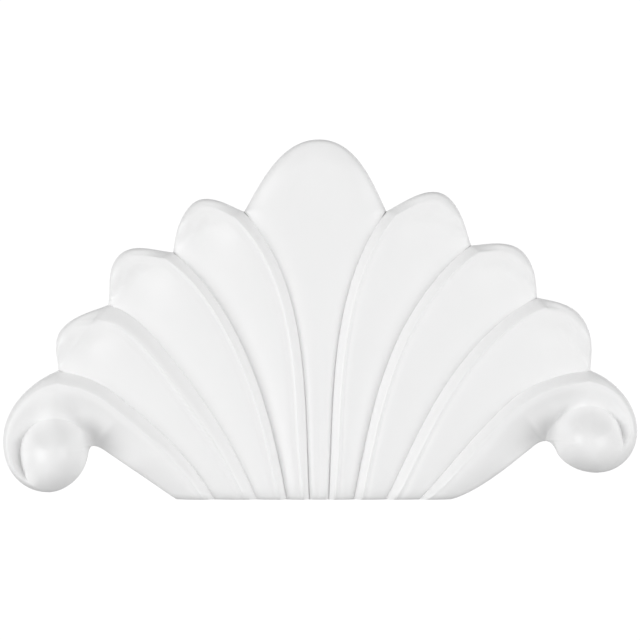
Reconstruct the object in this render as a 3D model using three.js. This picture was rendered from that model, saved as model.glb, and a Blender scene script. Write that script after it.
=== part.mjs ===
// Door pediment ornament: a fan of leaves between two scrolled arms, moulded in one piece.
// Millimetres, +Z up. The flat back lies on the wall plane y = 0 and the carving faces -Y.
// The origin is on the back face, on the middle line, half way up.
import * as THREE from 'three';

// Overall sizes
const WIDTH = 300;
const HEIGHT = 170.4;
const DEPTH = 33;

// Height of the carving above the wall
const LEAF_LIFT = 28;
const FOOT_LIFT = 18;
const TIP_DROOP = 2.5;

// Depths and widths of the carving
const ROUNDING = 1.5;
const SHOULDER = 13;
const GROOVE_DEPTH = 5.6;
const GROOVE_AT_FOOT = 4.6;
const CROWN_SINK = 2.5;
const DISH_DEPTH = 3.6;
const DISH_WALL = 7;

// Shape of a leaf along and across: shares of its own length, width and height
const SUMMIT = 0.7;
const FULL_GROOVE = 0.45;
const RIB_SHARE = 0.27;
const BLADE_POWER = 1.7;
const CROWN_POWER = 5;
const ROLL_SHARE = 0.1;
const FOOT_ROLL = 0.14;
const SHOULDER_SHARE = 0.2;
const LEAF_SHOULDER = 0.45;
const CROWN_SHOULDER = 0.9;
const CROWN_TOP_SHOULDER = 0.2;
const TURN_SHARE = 0.18;
const TIP_FADE = 1.9;
const TIP_CLEAR = 0.3;
const DISH_SPREAD = 0.32;
const CROWN_DISH = 0.15;
const CROWN_DISH_SPREAD = 0.4;
const CROWN_DISH_PLACE = 0.25;
const CROWN_RIM = 0.12;

// Shape of the arms and scrolls: heights are shares of the crest beside them
const ARM_FADE = 1.9;
const BEAD = 0.48;
const FOOT_FALL = 0.86;
const SHAFT_FALL = 0.74;
const VALLEY_FALL = 0.5;
const SUMMIT_FALL = 0.82;
const FLANK_FALL = 0.74;
const MERGE_FALL = 0.86;
const TAIL_FALL = 0.6;
const BELLY_FALL = 0.54;
const BRIM = 0.76;
const BRIM_POWER = 6;
const BALL_LEAN = 0.12;

// Fineness of the faceting
const RIB_COLUMNS = 3;
const BLADE_COLUMNS = 9;
const GROOVE_ROWS = 18;
const TIP_ROWS = 8;
const UNDER_ROWS = 11;
const RISE_ROWS = 8;
const SCROLL_ROWS = 20;
const BELLY_ROWS = 11;
const EYE_RINGS = 5;
const CURVE_STEPS = 24;
const ROWS = GROOVE_ROWS + TIP_ROWS;

// The drawing of each side. Places are [outward share of half the width, share of the height],
// headings are degrees turned up from straight outward. Each groove runs up from the foot line
// and ends at a notch in the outline. Its rib is the share of half the width that the raised edge
// beside it takes, and deep is the share of the full groove depth. Each tip leaves its inner notch,
// rounds its nose and reaches its outer notch, with a rim inside it.
const LEFT = {
  hand: -1,
  grooves: [
    { knots: [[0.033, 0, 87], [0.239, 0.800, 48]], rib: 0.029, deep: 0.85 },
    { knots: [[0.105, 0, 80], [0.292, 0.507, 60], [0.463, 0.688, 39]], rib: 0.025, deep: 1 },
    { knots: [[0.199, 0, 68], [0.485, 0.414, 51], [0.668, 0.542, 17]], rib: 0.045, deep: 1 },
    { knots: [[0.334, 0, 62], [0.649, 0.298, 38], [0.825, 0.360, 12]], rib: 0.035, deep: 1 },
  ],
  crownLeave: 119,
  rim: 0.03,
  tips: [
    { leave: 25, nose: [0.408, 0.817, -47], reach: -83 },
    { leave: 5, nose: [0.633, 0.679, -45], reach: -80 },
    { leave: -23, nose: [0.813, 0.475, -50], reach: -93 },
  ],
  scroll: {
    leave: -23, side: [0.999, 0.162], tail: [0.863, 0.0205], tailHeading: -165, close: 0.8, crook: 0.25,
  },
  eye: { centre: [0.841, 0.136], radius: 0.103, joint: 188 },
  under: { corner: [0.455, 34], waist: [0.665, 0.125, 32], crook: [0.719, 0.148, 5], valley: 75 },
};
const RIGHT = {
  hand: 1,
  grooves: [
    { knots: [[0.027, 0, 87], [0.209, 0.801, 54]], rib: 0.027, deep: 0.85 },
    { knots: [[0.107, 0, 79], [0.304, 0.539, 57], [0.477, 0.707, 36]], rib: 0.027, deep: 1 },
    { knots: [[0.208, 0, 63], [0.425, 0.356, 54], [0.685, 0.562, 27]], rib: 0.031, deep: 1 },
    { knots: [[0.314, 0, 47], [0.590, 0.268, 43], [0.853, 0.360, 6]], rib: 0.031, deep: 1 },
  ],
  crownLeave: 114,
  rim: 0.032,
  tips: [
    { leave: 29, nose: [0.409, 0.836, -45], reach: -70 },
    { leave: 5, nose: [0.645, 0.683, -50], reach: -85 },
    { leave: -12, nose: [0.816, 0.516, -47], reach: -95 },
  ],
  scroll: {
    leave: -22, side: [1, 0.187], tail: [0.879, 0.075], tailHeading: -165, close: 0.58, crook: 0.33,
  },
  eye: { centre: [0.848, 0.170], radius: 0.104, joint: 203 },
  under: { corner: [0.417, 18], waist: [0.660, 0.136, 37], crook: [0.715, 0.162, 0], valley: 75 },
};
const CROWN_TOP = -0.003;

const HALF = WIDTH / 2;

function clamp(value) {
  return Math.min(1, Math.max(0, value));
}

function mix(a, b, t) {
  return a + (b - a) * t;
}

// A step from 0 to 1 with easy turns at both ends
function ease(value) {
  const share = clamp(value);
  return share * share * (3 - 2 * share);
}

// The value at a place on a line of [place, value] knots, with easy turns at each
function eased(where, knots) {
  for (let k = 1; k < knots.length; k += 1) {
    const [from, low] = knots[k - 1];
    const [to, high] = knots[k];
    if (where < to) {
      return mix(low, high, ease((where - from) / (to - from)));
    }
  }
  return knots[knots.length - 1][1];
}

function direction(degrees) {
  return new THREE.Vector2(Math.cos(degrees * Math.PI / 180), Math.sin(degrees * Math.PI / 180));
}

function place([outward, up]) {
  return new THREE.Vector2(outward * HALF, up * HEIGHT);
}

function knot([outward, up, heading]) {
  return { at: place([outward, up]), heading };
}

// A smooth line through knots, each piece a circle's arc wherever its two headings allow one
function trace(knots) {
  const line = [knots[0].at];
  for (let k = 1; k < knots.length; k += 1) {
    const from = knots[k - 1];
    const to = knots[k];
    const chord = from.at.distanceTo(to.at);
    const turn = ((to.heading - from.heading + 540) % 360 - 180) * Math.PI / 180;
    const share = Math.abs(turn) < 0.01 ? 1 / 3 : 2 / 3 * Math.tan(turn / 4) / Math.sin(turn / 2);
    const leaving = from.at.clone().addScaledVector(direction(from.heading), chord * share);
    const reaching = to.at.clone().addScaledVector(direction(to.heading), -chord * share);
    const piece = new THREE.CubicBezierCurve(from.at, leaving, reaching, to.at);
    line.push(...piece.getPoints(CURVE_STEPS).slice(1));
  }
  return line;
}

// The same line as a number of equal steps
function space(line, steps) {
  const run = [0];
  for (let k = 1; k < line.length; k += 1) {
    run.push(run[k - 1] + line[k].distanceTo(line[k - 1]));
  }
  const spaced = [line[0]];
  let k = 1;
  for (let step = 1; step < steps; step += 1) {
    const goal = run[run.length - 1] * step / steps;
    while (run[k] < goal) {
      k += 1;
    }
    spaced.push(line[k - 1].clone().lerp(line[k], (goal - run[k - 1]) / (run[k] - run[k - 1])));
  }
  spaced.push(line[line.length - 1]);
  return spaced;
}

// All the lines of one side in plan, x outward from the middle line and y up from the foot line
function drawSide(side) {
  const grooves = side.grooves.map((groove) => space(trace(groove.knots.map(knot)), GROOVE_ROWS));
  const notches = grooves.map((groove) => groove[GROOVE_ROWS]);

  const top = { at: place([CROWN_TOP * side.hand, 1]), heading: 180 };
  const crown = space(trace([{ at: notches[0], heading: side.crownLeave }, top]), TIP_ROWS);

  const tips = side.tips.map((tip, k) => {
    const nose = knot(tip.nose);
    return {
      inner: space(trace([{ at: notches[k], heading: tip.leave }, nose]), TIP_ROWS),
      outer: space(trace([nose, { at: notches[k + 1], heading: tip.reach }]), TIP_ROWS),
    };
  });

  const centre = place(side.eye.centre);
  const radius = side.eye.radius * HALF;
  const joint = centre.clone().addScaledVector(direction(side.eye.joint), radius);
  const summit = { at: centre.clone().add(new THREE.Vector2(0, radius)), heading: 0 };
  const flank = { at: centre.clone().add(new THREE.Vector2(radius, 0)), heading: -90 };
  const tail = place(side.scroll.tail);
  const [cornerPlace, cornerHeading] = side.under.corner;

  const scroll = space(trace([
    { at: notches[notches.length - 1], heading: side.scroll.leave },
    { at: place(side.scroll.side), heading: -90 },
    { at: tail, heading: -180 },
  ]), SCROLL_ROWS);
  const crook = knot(side.under.crook);
  const belly = space(trace([
    { at: tail, heading: 180 },
    { at: joint, heading: side.eye.joint - 90 },
    { at: crook.at, heading: crook.heading + 180 },
  ]), BELLY_ROWS);
  const under = space(trace([
    { at: place([cornerPlace, 0]), heading: cornerHeading },
    knot(side.under.waist),
    crook,
  ]), UNDER_ROWS);
  const rise = space(trace([
    { at: crook.at, heading: side.under.valley },
    summit,
  ]), RISE_ROWS);
  const wrap = space(trace([
    summit,
    flank,
    { at: tail, heading: side.scroll.tailHeading },
  ]), GROOVE_ROWS + SCROLL_ROWS - UNDER_ROWS - RISE_ROWS);
  return { grooves, crown, tips, centre, scroll, belly, under, rise, wrap };
}

// The two long edges of each patch of carving, row by row from the foot to the tip
function leafEdges(drawn, k) {
  const inner = drawn.grooves[k].concat(drawn.tips[k].inner.slice(1));
  const outer = drawn.grooves[k + 1].concat(drawn.tips[k].outer.slice(0, -1).reverse());
  return { inner, outer };
}

function armEdges(drawn) {
  const inner = drawn.grooves[drawn.grooves.length - 1].concat(drawn.scroll.slice(1));
  const outer = drawn.under.concat(drawn.rise.slice(1), drawn.wrap.slice(1));
  return { inner, outer };
}

// The outline of one side from the foot corner up to the top of the crown
function outlineOf(drawn) {
  const line = [...drawn.under];
  line.push(...drawn.belly.slice(0, -1).reverse());
  line.push(...drawn.scroll.slice(0, -1).reverse());
  for (let k = drawn.tips.length - 1; k >= 0; k -= 1) {
    line.push(...drawn.tips[k].outer.slice(0, -1).reverse());
    line.push(...drawn.tips[k].inner.slice(0, -1).reverse());
  }
  line.push(...drawn.crown.slice(1));
  return line;
}

// How the carving rises from the foot to its summit and droops again to the tip
function crestAt(along) {
  const rise = Math.sin(clamp(along / SUMMIT) * Math.PI / 2);
  const droop = clamp((along - SUMMIT) / (1 - SUMMIT));
  return mix(FOOT_LIFT, LEAF_LIFT, rise) - TIP_DROOP * droop * droop;
}

function grooveAt(along) {
  return mix(GROOVE_AT_FOOT, GROOVE_DEPTH, clamp(along / FULL_GROOVE));
}

// The bed of a groove: full depth along the leaf, nothing where the groove has faded out
function bedAt(along, deep, fade) {
  return crestAt(along) - grooveAt(along) * deep * (1 - fade);
}

// The wall that rises from the groove to the top of the rib
function wallAt(rim, edge) {
  return 1 - (1 - clamp(rim / edge)) ** 1.4;
}

// The blade's fall from the rib to its outer edge: convex, or soft as in a valley
function fallAt(share, soft) {
  const convex = (1 - share ** BLADE_POWER) ** 0.92;
  return mix(convex, 1 - ease(share), soft);
}

// Height across a leaf or an arm: wall and rib beside the inner groove, then the falling blade
function bladeAt(crest, wall, fall, innerBed, outerBed, outerTop) {
  return mix(innerBed, crest, wall) + mix(outerBed, outerTop, fall) - crest;
}

// The hollow inside a tip, walled off from its rim
function dishAt(away, rim, edge) {
  return DISH_DEPTH * Math.exp(-away * away) * ease((rim - edge) / DISH_WALL);
}

// How much wider a rib is where it turns the corner at its notch
function turned(row, share) {
  return 1 + TURN_SHARE * (1 - share) * Math.exp(-(((row - GROOVE_ROWS) / (TIP_ROWS / 5)) ** 2));
}

// Height of the arm's lower side and of the groove round the eye, over the crest
function armFall(side, row) {
  const summit = UNDER_ROWS + RISE_ROWS;
  const close = GROOVE_ROWS + side.scroll.close * SCROLL_ROWS;
  return eased(row, [
    [0, FOOT_FALL],
    [UNDER_ROWS / 2, SHAFT_FALL],
    [UNDER_ROWS, side.scroll.crook],
    [UNDER_ROWS + RISE_ROWS / 2, VALLEY_FALL],
    [summit, SUMMIT_FALL],
    [summit + RISE_ROWS / 2, FLANK_FALL],
    [close - TIP_ROWS / 4, FLANK_FALL],
    [close + TIP_ROWS / 8, MERGE_FALL],
    [GROOVE_ROWS + SCROLL_ROWS, TAIL_FALL],
  ]);
}

// Height of the rim round the eye, over the crest: it merges where the groove closes
function armTop(side, row) {
  const close = GROOVE_ROWS + side.scroll.close * SCROLL_ROWS;
  return eased(row, [
    [close - TIP_ROWS / 4, 1],
    [GROOVE_ROWS + SCROLL_ROWS, TAIL_FALL],
  ]);
}

const sides = [LEFT, RIGHT].map((side) => ({ ...side, drawn: drawSide(side) }));

function handed(point, hand) {
  return new THREE.Vector2(point.x * hand, point.y);
}

const outline = outlineOf(sides[0].drawn).map((point) => handed(point, -1)).concat(
  outlineOf(sides[1].drawn).slice(0, -1).reverse().map((point) => handed(point, 1)),
);

// How far a point lies from a line of points
function gapTo(point, line) {
  let least = Infinity;
  for (let k = 1; k < line.length; k += 1) {
    const from = line[k - 1];
    const run = line[k].clone().sub(from);
    const away = point.clone().sub(from);
    const share = clamp(away.dot(run) / run.lengthSq());
    least = Math.min(least, away.addScaledVector(run, -share).length());
  }
  return least;
}

// The border falls over a shoulder, and the front arris rounds over to the upright edge
function bordered(point, height, shoulder) {
  const gap = gapTo(point, outline);
  const near = clamp(gap / ROUNDING);
  const roll = 1 - Math.sqrt(near * (2 - near));
  const foot = (1 - clamp(point.y / ROUNDING)) ** 2;
  const lean = (1 - clamp(gap / SHOULDER)) ** 2;
  return height * (1 - ROLL_SHARE * roll - FOOT_ROLL * foot - SHOULDER_SHARE * lean * shoulder);
}

const points = [];
const faces = [];
const known = new Map();

function nameOf(point) {
  return `${point.x.toFixed(3)} ${point.y.toFixed(3)}`;
}

function addPoint(point, lift) {
  points.push(point.x, -lift, point.y - HEIGHT / 2);
  return points.length / 3 - 1;
}

// One front point for each place in plan, so that neighbouring patches share their edges
function frontPoint(point, height, shoulder) {
  const name = nameOf(point);
  if (!known.has(name)) {
    known.set(name, addPoint(point, bordered(point, height, shoulder)));
  }
  return known.get(name);
}

function facesRoom(a, b, c) {
  const [ax, az] = [points[3 * a], points[3 * a + 2]];
  const [bx, bz] = [points[3 * b], points[3 * b + 2]];
  const [cx, cz] = [points[3 * c], points[3 * c + 2]];
  return (bx - ax) * (cz - az) - (cx - ax) * (bz - az) > 0;
}

function addFront(a, b, c) {
  if (a === b || b === c || a === c) {
    return;
  }
  faces.push(...(facesRoom(a, b, c) ? [a, b, c] : [a, c, b]));
}

function farApart(a, b) {
  const [x, y, z] = [0, 1, 2].map((axis) => points[3 * a + axis] - points[3 * b + axis]);
  return Math.hypot(x, y, z);
}

// Four neighbouring points, split along the shorter diagonal
function addQuad(a, b, c, d) {
  if (farApart(a, c) <= farApart(b, d)) {
    addFront(a, b, c);
    addFront(a, c, d);
  } else {
    addFront(b, c, d);
    addFront(b, d, a);
  }
}

// Columns across a patch: one stands on the ridge, and they stand closer beside it and the edges
function columnShares(ridge) {
  const shares = [];
  for (let k = 0; k < RIB_COLUMNS; k += 1) {
    shares.push(ridge * (1 - Math.cos(Math.PI * k / RIB_COLUMNS)) / 2);
  }
  for (let k = 0; k <= BLADE_COLUMNS; k += 1) {
    shares.push(mix(ridge, 1, (1 - Math.cos(Math.PI * k / BLADE_COLUMNS)) / 2));
  }
  return shares;
}

function addPatch(inner, outer, ridgeAt, sectionAt) {
  const grid = inner.map((from, row) => {
    const to = outer[row];
    const width = from.distanceTo(to);
    const ridge = Math.min(ridgeAt(row, width) / Math.max(width, 1e-6), 0.45);
    return columnShares(ridge).map((share) => {
      const point = from.clone().lerp(to, share);
      const { height, shoulder } = sectionAt(point, share, row, width);
      return frontPoint(point, height, shoulder);
    });
  });
  for (let row = 1; row < grid.length; row += 1) {
    for (let column = 1; column < grid[row].length; column += 1) {
      const [a, b] = [grid[row - 1][column - 1], grid[row - 1][column]];
      addQuad(a, b, grid[row][column], grid[row][column - 1]);
    }
  }
  return grid;
}

function addLeaf(side, k) {
  const { inner, outer } = leafEdges(side.drawn, k);
  const from = inner.map((point) => handed(point, side.hand));
  const to = outer.map((point) => handed(point, side.hand));
  const notch = to[GROOVE_ROWS];
  const span = from[GROOVE_ROWS].distanceTo(notch);
  const dish = from[GROOVE_ROWS].clone().lerp(notch, 0.5);
  const tipLine = from.concat(to.slice(GROOVE_ROWS, -1).reverse());
  const innerDeep = side.grooves[k].deep;
  const outerDeep = side.grooves[k + 1].deep;

  const ribAt = (row, width, share = 0) => {
    const tip = ease((row - GROOVE_ROWS) / TIP_ROWS * 2);
    const room = row < GROOVE_ROWS ? width : span;
    const rib = Math.min(side.grooves[k].rib * HALF, RIB_SHARE * room);
    return turned(row, share) * mix(rib, side.rim * HALF, tip);
  };
  return addPatch(from, to, ribAt, (point, share, row, width) => {
    const along = row / ROWS;
    const crest = crestAt(along);
    const fade = ease((row - GROOVE_ROWS) / TIP_ROWS * TIP_FADE);
    const edge = ribAt(row, width, share);
    const beside = gapTo(point, from);
    const clear = ease(point.distanceTo(notch) / (TIP_CLEAR * span));
    const rim = mix(beside, gapTo(point, tipLine), clear);
    const across = clamp((share * width - edge) / Math.max(width - edge, 1e-6));
    const hollow = dishAt(point.distanceTo(dish) / (DISH_SPREAD * span), rim, edge);
    const beds = [bedAt(along, innerDeep, fade), bedAt(along, outerDeep, fade)];
    const blade = bladeAt(crest, wallAt(rim, edge), fallAt(across, 0), ...beds, crest);
    return { height: blade - hollow, shoulder: LEAF_SHOULDER };
  });
}

function addArm(side) {
  const { inner, outer } = armEdges(side.drawn);
  const from = inner.map((point) => handed(point, side.hand));
  const to = outer.map((point) => handed(point, side.hand));
  const { rib, deep } = side.grooves[side.grooves.length - 1];

  const ribAt = (row, width) => {
    const narrow = ease((row - GROOVE_ROWS + TIP_ROWS / 4) / TIP_ROWS);
    return turned(row, 0) * Math.min(rib * HALF * mix(1, BEAD, narrow), RIB_SHARE * width);
  };
  return addPatch(from, to, ribAt, (point, share, row, width) => {
    const along = Math.min(row, GROOVE_ROWS) / ROWS;
    const crest = crestAt(along);
    const bed = bedAt(along, deep, ease(((row - GROOVE_ROWS) / TIP_ROWS + 0.2) * ARM_FADE));
    const edge = Math.max(ribAt(row, width), 1e-6);
    const across = clamp((share * width - edge) / Math.max(width - edge, 1e-6));
    const turning = ease((row - UNDER_ROWS) / TIP_ROWS + 1);
    const fall = fallAt(across, turning);
    const low = crest * armFall(side, row);
    const high = crest * armTop(side, row);
    const height = bladeAt(crest, wallAt(share * width, edge), fall, bed, low, high);
    return { height, shoulder: 1 - share * turning };
  });
}

// The eye of the scroll: a ball rising in rings from the groove round it. The outer rings follow
// the groove and the inner ones are circles.
function addEye(side) {
  const { rise, wrap, belly, centre } = side.drawn;
  const edge = rise.slice(0, -1).concat(wrap.slice(0, -1), belly.slice(0, -1));
  const middle = handed(centre, side.hand);
  const radius = side.eye.radius * HALF;
  const last = GROOVE_ROWS + SCROLL_ROWS;
  const crest = crestAt(GROOVE_ROWS / ROWS);
  const falls = edge.map((_, k) => {
    const row = UNDER_ROWS + k;
    const belowTail = [[0, TAIL_FALL], [0.45, BELLY_FALL], [1, side.scroll.crook]];
    return row > last ? eased((row - last) / BELLY_ROWS, belowTail) : armFall(side, row);
  });
  const wrapped = last - UNDER_ROWS;
  const stretches = edge.map((_, k) => eased(k, [
    [0, 0],
    [RISE_ROWS, 1],
    [wrapped + 0.4 * BELLY_ROWS, 1],
    [wrapped + BELLY_ROWS, 0],
  ]));
  const rings = [];
  for (let ring = 0; ring <= EYE_RINGS; ring += 1) {
    const share = Math.sin(ring / EYE_RINGS * Math.PI / 2);
    rings.push(edge.map((end, k) => {
      const ray = handed(end, side.hand).sub(middle);
      const reach = mix(radius / ray.length(), 1, share ** 8);
      const point = middle.clone().addScaledVector(ray, share * reach);
      const whole = mix(radius, ray.length(), stretches[k]);
      const out = clamp(point.distanceTo(middle) / whole);
      const lean = 1 - BALL_LEAN * (point.y - middle.y) / radius;
      const dome = mix(crest * BRIM, DEPTH, (1 - out * out) * lean / (1 + BALL_LEAN ** 2 / 4));
      return frontPoint(point, dome + crest * (falls[k] - BRIM) * out ** BRIM_POWER, 0);
    }));
  }
  for (let ring = 1; ring <= EYE_RINGS; ring += 1) {
    for (let k = 0; k < edge.length; k += 1) {
      const next = (k + 1) % edge.length;
      addQuad(rings[ring - 1][k], rings[ring - 1][next], rings[ring][next], rings[ring][k]);
    }
  }
}

// The front, patch by patch from the left scroll to the right
const left = sides[0];
const right = sides[1];
const crownFrom = left.drawn.grooves[0].concat(left.drawn.crown.slice(1)).map(
  (point) => handed(point, -1),
);
const crownTo = right.drawn.grooves[0].concat(right.drawn.crown.slice(1));
const crownSpan = crownFrom[GROOVE_ROWS].distanceTo(crownTo[GROOVE_ROWS]);
const crownTip = crownFrom.slice(GROOVE_ROWS).concat(crownTo.slice(GROOVE_ROWS, -1).reverse());
const crownDish = crownFrom[ROWS].clone().sub(new THREE.Vector2(0, CROWN_DISH_PLACE * crownSpan));

function crownSection(point, share, row) {
  const along = row / ROWS;
  const crest = crestAt(along);
  const fade = ease((row - GROOVE_ROWS) / TIP_ROWS * TIP_FADE);
  const { deep } = (share < 0.5 ? left : right).grooves[0];
  const fall = 1 - Math.abs(2 * share - 1) ** CROWN_POWER;
  const low = CROWN_SINK * (grooveAt(along) / GROOVE_DEPTH) ** 2 * (1 - fade);
  const away = Math.hypot(point.x - crownDish.x, (point.y - crownDish.y) / 1.4);
  const rim = gapTo(point, crownTip);
  const wide = CROWN_DISH_SPREAD * crownSpan;
  const hollow = CROWN_DISH * dishAt(away / wide, rim, CROWN_RIM * crownSpan);
  const aside = clamp(2 * Math.abs(point.x - crownDish.x) / crownSpan);
  const top = CROWN_TOP_SHOULDER + CROWN_SHOULDER * aside ** 1.5;
  const shoulder = mix(LEAF_SHOULDER, top, ease((row - GROOVE_ROWS) / TIP_ROWS * 2));
  return { height: mix(bedAt(along, deep, fade), crest - low, fall) - hollow, shoulder };
}

const footRow = [];
footRow.push(...addArm(left)[0].reverse());
for (let k = left.drawn.tips.length - 1; k >= 0; k -= 1) {
  footRow.push(...addLeaf(left, k)[0].reverse());
}
const crownGrid = addPatch(crownFrom, crownTo, (_, width) => 0.3 * width, crownSection);
footRow.push(...crownGrid[0]);
for (let k = 0; k < right.drawn.tips.length; k += 1) {
  footRow.push(...addLeaf(right, k)[0]);
}
footRow.push(...addArm(right)[0]);
addEye(left);
addEye(right);

// The upright edge, the flat back and the flat foot
const rimIds = outline.map((point) => known.get(nameOf(point)));
const backIds = outline.map((point) => addPoint(point, 0));
for (let k = 1; k < outline.length; k += 1) {
  faces.push(rimIds[k - 1], rimIds[k], backIds[k]);
  faces.push(rimIds[k - 1], backIds[k], backIds[k - 1]);
}
for (const [a, b, c] of THREE.ShapeUtils.triangulateShape(outline, [])) {
  const [i, j, k] = [backIds[a], backIds[b], backIds[c]];
  faces.push(...(facesRoom(i, j, k) ? [i, k, j] : [i, j, k]));
}

const foot = footRow.filter((id, k) => id !== footRow[k - 1]);
const footLoop = [backIds[0], ...foot, backIds[backIds.length - 1]];
const footShape = footLoop.map((id) => new THREE.Vector2(points[3 * id], points[3 * id + 1]));
for (const [a, b, c] of THREE.ShapeUtils.triangulateShape(footShape, [])) {
  const [p, q, r] = [footShape[a], footShape[b], footShape[c]];
  const turn = (q.x - p.x) * (r.y - p.y) - (r.x - p.x) * (q.y - p.y);
  const [i, j, k] = [footLoop[a], footLoop[b], footLoop[c]];
  faces.push(...(turn > 0 ? [i, k, j] : [i, j, k]));
}

const geometry = new THREE.BufferGeometry();
geometry.setAttribute('position', new THREE.Float32BufferAttribute(points, 3));
geometry.setIndex(faces);
geometry.computeVertexNormals();

const satinWhite = new THREE.MeshStandardMaterial({ color: 0xededed, roughness: 0.45, metalness: 0 });
satinWhite.name = 'satin_white';

const ornament = new THREE.Mesh(geometry, satinWhite);
ornament.name = 'pediment_ornament';

const group = new THREE.Group();
group.name = 'door_pediment_ornament';
group.add(ornament);

export default group;
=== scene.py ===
"""Door pediment ornament: a fan of leaves between two scrolled arms, moulded in one piece."""
import math

import bpy
import numpy as np
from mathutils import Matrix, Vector


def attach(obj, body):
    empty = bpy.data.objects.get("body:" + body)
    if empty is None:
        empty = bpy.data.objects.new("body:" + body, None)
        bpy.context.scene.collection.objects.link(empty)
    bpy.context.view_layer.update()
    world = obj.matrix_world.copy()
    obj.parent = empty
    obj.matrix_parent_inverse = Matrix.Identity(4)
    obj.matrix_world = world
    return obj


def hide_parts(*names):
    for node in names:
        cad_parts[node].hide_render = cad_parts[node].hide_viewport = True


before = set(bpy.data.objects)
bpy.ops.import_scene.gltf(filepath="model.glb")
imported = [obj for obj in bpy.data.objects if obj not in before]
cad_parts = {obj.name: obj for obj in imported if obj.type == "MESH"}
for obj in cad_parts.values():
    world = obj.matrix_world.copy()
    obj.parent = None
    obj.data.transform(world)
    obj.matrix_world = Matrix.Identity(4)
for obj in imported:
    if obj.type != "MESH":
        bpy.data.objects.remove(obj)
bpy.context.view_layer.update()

bl_info = {
    "name": "Door Pediment Ornament",
    "version": (1, 0, 0),
    "blender": (4, 5, 0),
    "location": "View3D > Sidebar > Ornament",
    "description": "Carves a fan of leaves between two scrolled arms and lights it",
    "category": "Add Mesh",
}

# The drawing of each side. Places are (outward share of half the width, share of the height) and
# headings are degrees turned up from straight outward. Each groove runs up from the foot line to
# a notch in the outline, and rib is the share of half the width that its raised edge takes.
LEFT = {
    "hand": -1,
    "grooves": [
        {"knots": [(0.033, 0, 87), (0.239, 0.800, 48)], "rib": 0.029, "deep": 0.85},
        {"knots": [(0.105, 0, 80), (0.292, 0.507, 60), (0.463, 0.688, 39)],
         "rib": 0.025, "deep": 1},
        {"knots": [(0.199, 0, 68), (0.485, 0.414, 51), (0.668, 0.542, 17)],
         "rib": 0.045, "deep": 1},
        {"knots": [(0.334, 0, 62), (0.649, 0.298, 38), (0.825, 0.360, 12)],
         "rib": 0.035, "deep": 1},
    ],
    "crown_leave": 119,
    "rim": 0.03,
    "tips": [
        {"leave": 25, "nose": (0.408, 0.817, -47), "reach": -83},
        {"leave": 5, "nose": (0.633, 0.679, -45), "reach": -80},
        {"leave": -23, "nose": (0.813, 0.475, -50), "reach": -93},
    ],
    "scroll": {"leave": -23, "side": (0.999, 0.162), "tail": (0.863, 0.0205),
               "tail_heading": -165, "close": 0.8, "crook": 0.25},
    "eye": {"centre": (0.841, 0.136), "radius": 0.103, "joint": 188},
    "under": {"corner": (0.455, 0, 34), "waist": (0.665, 0.125, 32), "crook": (0.719, 0.148, 5),
              "valley": 75},
}
RIGHT = {
    "hand": 1,
    "grooves": [
        {"knots": [(0.027, 0, 87), (0.209, 0.801, 54)], "rib": 0.027, "deep": 0.85},
        {"knots": [(0.107, 0, 79), (0.304, 0.539, 57), (0.477, 0.707, 36)],
         "rib": 0.027, "deep": 1},
        {"knots": [(0.208, 0, 63), (0.425, 0.356, 54), (0.685, 0.562, 27)],
         "rib": 0.031, "deep": 1},
        {"knots": [(0.314, 0, 47), (0.590, 0.268, 43), (0.853, 0.360, 6)],
         "rib": 0.031, "deep": 1},
    ],
    "crown_leave": 114,
    "rim": 0.032,
    "tips": [
        {"leave": 29, "nose": (0.409, 0.836, -45), "reach": -70},
        {"leave": 5, "nose": (0.645, 0.683, -50), "reach": -85},
        {"leave": -12, "nose": (0.816, 0.516, -47), "reach": -95},
    ],
    "scroll": {"leave": -22, "side": (1, 0.187), "tail": (0.879, 0.075),
               "tail_heading": -165, "close": 0.58, "crook": 0.33},
    "eye": {"centre": (0.848, 0.170), "radius": 0.104, "joint": 203},
    "under": {"corner": (0.417, 0, 18), "waist": (0.660, 0.136, 37), "crook": (0.715, 0.162, 0),
              "valley": 75},
}
CROWN_TOP = -0.003

# Shape of the sections: places along a leaf, powers of the curves, shares of the height
SUMMIT = 0.7
FULL_GROOVE = 0.45
BLADE_POWER = 1.7
BLADE_EASE = 0.92
WALL_POWER = 1.4
CROWN_POWER = 5.0
ROLL_SHARE = 0.1
FOOT_ROLL = 0.14
SHOULDER_SHARE = 0.2
FLUTE_SPREAD = 0.1
CREASE_OFFSET = 1.2
CREASE_LOSS = 0.7
RIDGE_LIMIT = 0.45
TIP_PACE = 2
CROWN_SIDE_POWER = 1.5
BELLY_MIDDLE = 0.45
BELLY_HELD = 0.4
RAY_POWER = 8
SOFTEN_STEPS = 5
SOFTEN_WEIGHT = 0.9
EDGE_BAND = 0.0001
SHARP_ANGLE = 60

# Fineness of the carving
RIB_COLUMNS = 14
BLADE_COLUMNS = 34
GROOVE_ROWS = 72
TIP_ROWS = 32
UNDER_ROWS = 44
RISE_ROWS = 32
SCROLL_ROWS = 80
BELLY_ROWS = 44
EYE_RINGS = 18
CURVE_STEPS = 60
ROWS = GROOVE_ROWS + TIP_ROWS
TURN_ROWS = TIP_ROWS / 5
BATCH = 4000
LEAST_FACES = 10000

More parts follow.
